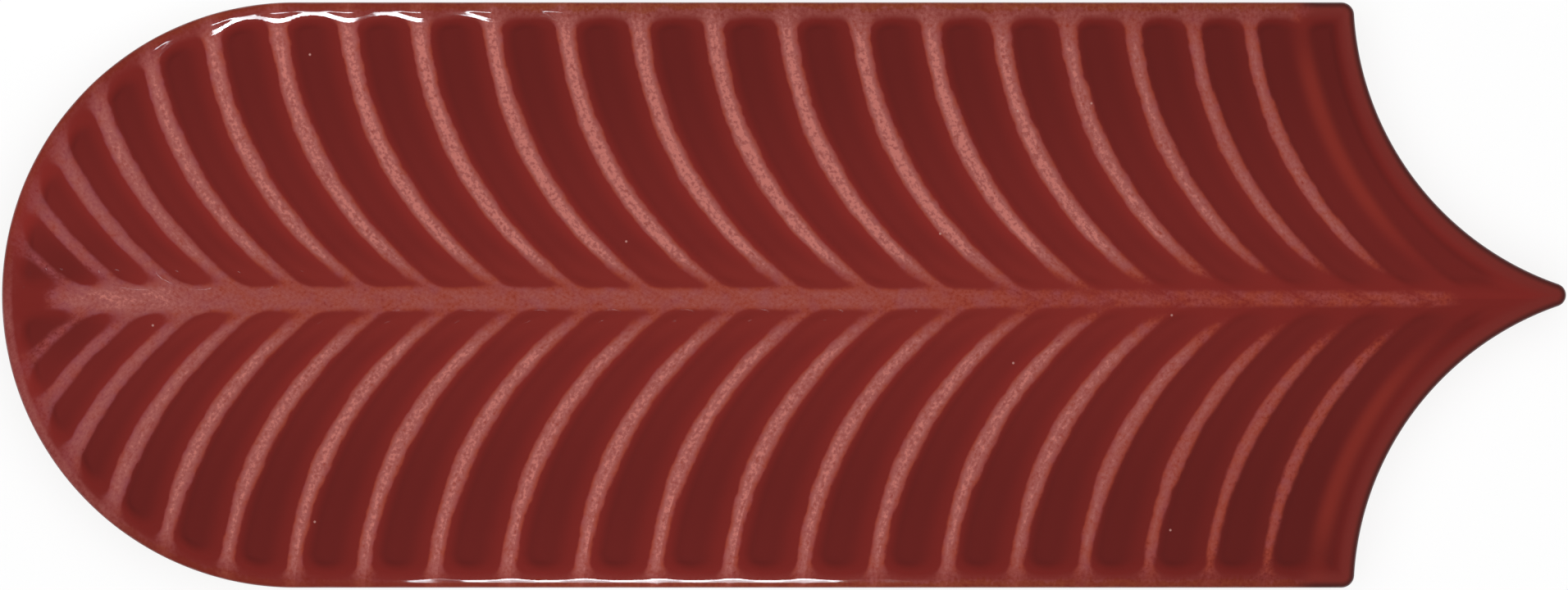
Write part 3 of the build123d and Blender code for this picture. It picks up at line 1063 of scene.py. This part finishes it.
def glaze_material(look, relief):
    """Gloss oxblood glaze: dark where it pools, pink over the ribs, bare clay below its line."""
    material, recipe = blank_material("oxblood_glaze")
    spot = LeafSpot(recipe, relief)
    along_ribs = recipe.node("ShaderNodeCombineXYZ")
    recipe.wire(recipe.times(spot.number, 11.0 * MM), along_ribs.inputs[0])
    recipe.wire(recipe.times(spot.y, 0.35), along_ribs.inputs[1])
    streak = recipe.noise(along_ribs.outputs[0], look.streak_scale)
    cloud = recipe.noise(spot.place, look.cloud_scale)
    speckle = recipe.noise(spot.place, look.speckle_scale, roughness=0.6)
    wander = recipe.math("MULTIPLY_ADD", cloud, 0.9, recipe.times(streak, 0.5))
    wander = recipe.math("MULTIPLY_ADD", speckle, 0.55, wander)
    mottle = recipe.math("MULTIPLY_ADD", speckle, 2.2, 1.0)
    mottle = recipe.math("MULTIPLY_ADD", cloud, 0.5, recipe.plus(streak, mottle))

    thin, on_rim = thin_glaze(recipe, look, relief, spot, wander)
    thin = recipe.times(thin, mottle)
    glaze = pooled_glaze(recipe, look, spot, cloud)
    glaze = end_glaze(recipe, look, relief, spot, glaze)
    rim_glaze = rim_colours(recipe, look, spot, glaze, thin, wander)
    glaze = recipe.blend(on_rim, rib_colours(recipe, look, spot, glaze, thin), rim_glaze)
    # Painted shade: the very edge of the end arcs is darkened, for the shade and dark reflection on an edge
    # that faced away from the light.
    very_edge = recipe.ramp(spot.inset, 1.3 * MM, 0.4 * MM, 0.0, 0.85)
    edge_shade_mask = recipe.times(recipe.ramp(spot.x, *END_ARCS), very_edge)
    glaze = recipe.blend(edge_shade_mask, glaze, look.painted_edge_shade)
    # Pits in the glaze, pale partly as a painted glint.
    glaze = recipe.blend(glinting_pits(recipe, look, spot), glaze, look.pinhole_and_glint)

    run_down = recipe.ramp(spot.z, look.glaze_line, HIGH.z - 1.6 * MM)
    side_glaze = recipe.blend(run_down, look.pool, look.edge_brown)
    glaze = recipe.blend(recipe.math("LESS_THAN", spot.inset, 0.0), glaze, side_glaze)

    grain = recipe.noise(spot.place, look.grain_scale, detail=4.0, roughness=0.7)
    clay = recipe.blend(recipe.ramp(grain, -0.2, 0.2), look.clay_dark, look.clay)
    wavy_z = recipe.math("MULTIPLY_ADD", cloud, look.line_wander, spot.z)
    glazed = recipe.ramp(wavy_z, look.glaze_line - look.line_soft, look.glaze_line + look.line_soft)

    shader = recipe.node("ShaderNodeBsdfPrincipled")
    recipe.wire(recipe.blend(glazed, clay, glaze), shader.inputs["Base Color"])
    smoother = look.roughness - look.clay_roughness
    roughness = recipe.math("MULTIPLY_ADD", glazed, smoother, look.clay_roughness)
    recipe.wire(roughness, shader.inputs["Roughness"])
    shader.inputs["IOR"].default_value = 1.5
    ripple = recipe.times(recipe.noise(spot.place, look.ripple_scale, detail=1.0), look.ripple_height)
    rough_grain = recipe.times(grain, look.grain_height)
    height = recipe.plus(recipe.times(glazed, ripple), recipe.times(recipe.rest(glazed), rough_grain))
    bump = recipe.node("ShaderNodeBump")
    bump.inputs["Strength"].default_value = 1.0
    bump.inputs["Distance"].default_value = 1.0
    recipe.wire(height, bump.inputs["Height"])
    recipe.wire(bump.outputs[0], shader.inputs["Normal"])
    finish_material(recipe, shader)
    return material


def link(piece):
    bpy.context.scene.collection.objects.link(piece)
    return piece


class LEAFTILE_OT_tile(bpy.types.Operator):
    """Build the glazed tile over its frame"""

    bl_idname = "leaf_tile.tile"
    bl_label = "Leaf tile"

    def execute(self, context):
        scene = context.scene
        plan = LeafPlan(scene.leaf_body)
        relief = scene.leaf_relief
        piece = link(bpy.data.objects.new("glazed_tile", blank_mesh(plan, relief)))
        inputs = relief_inputs(plan, relief)
        modifier = piece.modifiers.new("Leaf relief", "NODES")
        modifier.node_group = relief_tree(inputs, glaze_material(scene.glaze_look, relief))
        set_inputs(modifier, inputs)
        mesh = plain_mesh(piece, "glazed_tile")
        mesh.shade_smooth()
        mesh.set_sharp_from_angle(angle=math.radians(42))
        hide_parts(NODE)
        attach(piece, BODY)
        return {"FINISHED"}


def area_lamp(name, place, target, size, power, spread=180.0, tint=(1.0, 1.0, 1.0)):
    """A rectangular softbox that faces the target, with its light gathered within the spread."""
    lamp = bpy.data.lights.new(name, "AREA")
    lamp.shape = "RECTANGLE"
    lamp.size, lamp.size_y = size
    lamp.energy = power
    lamp.spread = math.radians(spread)
    lamp.color = tint
    piece = link(bpy.data.objects.new(name, lamp))
    piece.location = place
    piece.rotation_euler = (Vector(target) - Vector(place)).to_track_quat("-Z", "Y").to_euler()
    piece.visible_camera = False
    return piece


def floor_material(tint):
    """Pale matt floor, which shows nearly white to the camera and in reflections."""
    material, recipe = blank_material("pale_floor")
    paths = recipe.node("ShaderNodeLightPath").outputs
    seen = recipe.math("MAXIMUM", paths["Is Camera Ray"], paths["Is Glossy Ray"])
    seen = recipe.math("MAXIMUM", seen, paths["Is Transmission Ray"])
    matt = recipe.node("ShaderNodeBsdfDiffuse")
    matt.inputs["Color"].default_value = (*tint, 1.0)
    glow = recipe.node("ShaderNodeEmission")
    glow.inputs["Strength"].default_value = 1.0
    mix = recipe.node("ShaderNodeMixShader")
    recipe.wire(recipe.times(seen, 0.8), mix.inputs[0])
    recipe.wire(matt.outputs[0], mix.inputs[1])
    recipe.wire(glow.outputs[0], mix.inputs[2])
    finish_material(recipe, mix)
    return material


def pale_floor(setup):
    """A wide floor just under the tile."""
    half = setup.floor_size / 2
    z = LOW.z - setup.floor_gap
    mesh = bpy.data.meshes.new("floor")
    corners = [(-half, -half, z), (half, -half, z), (half, half, z), (-half, half, z)]
    mesh.from_pydata(corners, [], [(0, 1, 2, 3)])
    mesh.materials.append(floor_material(setup.floor_colour))
    return link(bpy.data.objects.new("floor", mesh))


def light_studio(setup):
    """Broad light from overhead and all round, and two softboxes that the rim reflects."""
    centre = (0.0, 0.0, HIGH.z)
    fill = area_lamp("overhead_fill", place=(0.0, 0.0, 1.8), target=centre, size=(4.0, 4.0), power=78.0)
    fill.visible_glossy = False
    area_lamp(
        "upper_softbox",
        place=(-0.108, 0.1423, 0.35),
        target=(-0.091, 0.0766, HIGH.z),
        size=(0.066, 0.042),
        power=0.0044,
        spread=18.0,
        tint=setup.softbox_tint,
    )
    area_lamp(
        "lower_softbox",
        place=(-0.030, -0.2418, 0.302),
        target=(-0.032, -0.1, HIGH.z),
        size=(0.082, 0.046),
        power=0.0128,
        spread=22.0,
        tint=setup.softbox_tint,
    )
    world = bpy.data.worlds.new("surroundings")
    world.use_nodes = True
    background = world.node_tree.nodes["Background"]
    background.inputs["Color"].default_value = (1.0, 1.0, 1.0, 1.0)
    background.inputs["Strength"].default_value = setup.surroundings
    return world


def overhead_camera(setup, edge_roll):
    """A camera that looks straight down, with the tile's widest outline as wide as in the photo."""
    camera = bpy.data.cameras.new("camera")
    view = link(bpy.data.objects.new("camera", camera))
    view.location = ((LOW.x + HIGH.x) / 2, (LOW.y + HIGH.y) / 2, setup.camera_height)
    wide = (HIGH.x - LOW.x) * setup.image_width / setup.tile_width_px
    camera.lens = camera.sensor_width * (setup.camera_height - HIGH.z + edge_roll) / wide
    return view


class LEAFTILE_OT_studio(bpy.types.Operator):
    """Set the floor, the softboxes, the surroundings and the camera"""

    bl_idname = "leaf_tile.studio"
    bl_label = "Studio"

    def execute(self, context):
        scene = context.scene
        floor = pale_floor(scene.leaf_studio)
        scene.world = light_studio(scene.leaf_studio)
        scene.camera = overhead_camera(scene.leaf_studio, scene.leaf_body.edge_roll)
        scene.view_settings.view_transform = "Standard"
        return {"FINISHED"}


class LEAFTILE_PT_panel(bpy.types.Panel):
    """Sizes, colours and build steps of the leaf tile"""

    bl_idname = "LEAFTILE_PT_panel"
    bl_label = "Leaf tile"
    bl_space_type = "VIEW_3D"
    bl_region_type = "UI"
    bl_category = "Leaf tile"

    def draw(self, context):
        layout = self.layout
        for step in OPERATORS:
            layout.operator(step.bl_idname)
        for name, group in GROUPS.items():
            box = layout.box()
            box.label(text=group.__doc__)
            for key in group.__annotations__:
                box.prop(getattr(context.scene, name), key)


GROUPS = {
    "leaf_body": LeafBody,
    "leaf_relief": LeafRelief,
    "glaze_look": GlazeLook,
    "leaf_studio": StudioSetup,
}
OPERATORS = (LEAFTILE_OT_tile, LEAFTILE_OT_studio)
CLASSES = (*GROUPS.values(), *OPERATORS, LEAFTILE_PT_panel)


def register():
    for item in CLASSES:
        bpy.utils.register_class(item)
    for name, group in GROUPS.items():
        setattr(bpy.types.Scene, name, PointerProperty(type=group))


def unregister():
    for name in GROUPS:
        delattr(bpy.types.Scene, name)
    for item in reversed(CLASSES):
        bpy.utils.unregister_class(item)


def main():
    register()
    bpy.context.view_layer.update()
    for item in bpy.data.objects:
        if item.type in {"LIGHT", "CAMERA"} or item.name == "Cube":
            bpy.data.objects.remove(item)
    bpy.ops.leaf_tile.tile()
    bpy.ops.leaf_tile.studio()


if __name__ == "__main__":
    main()
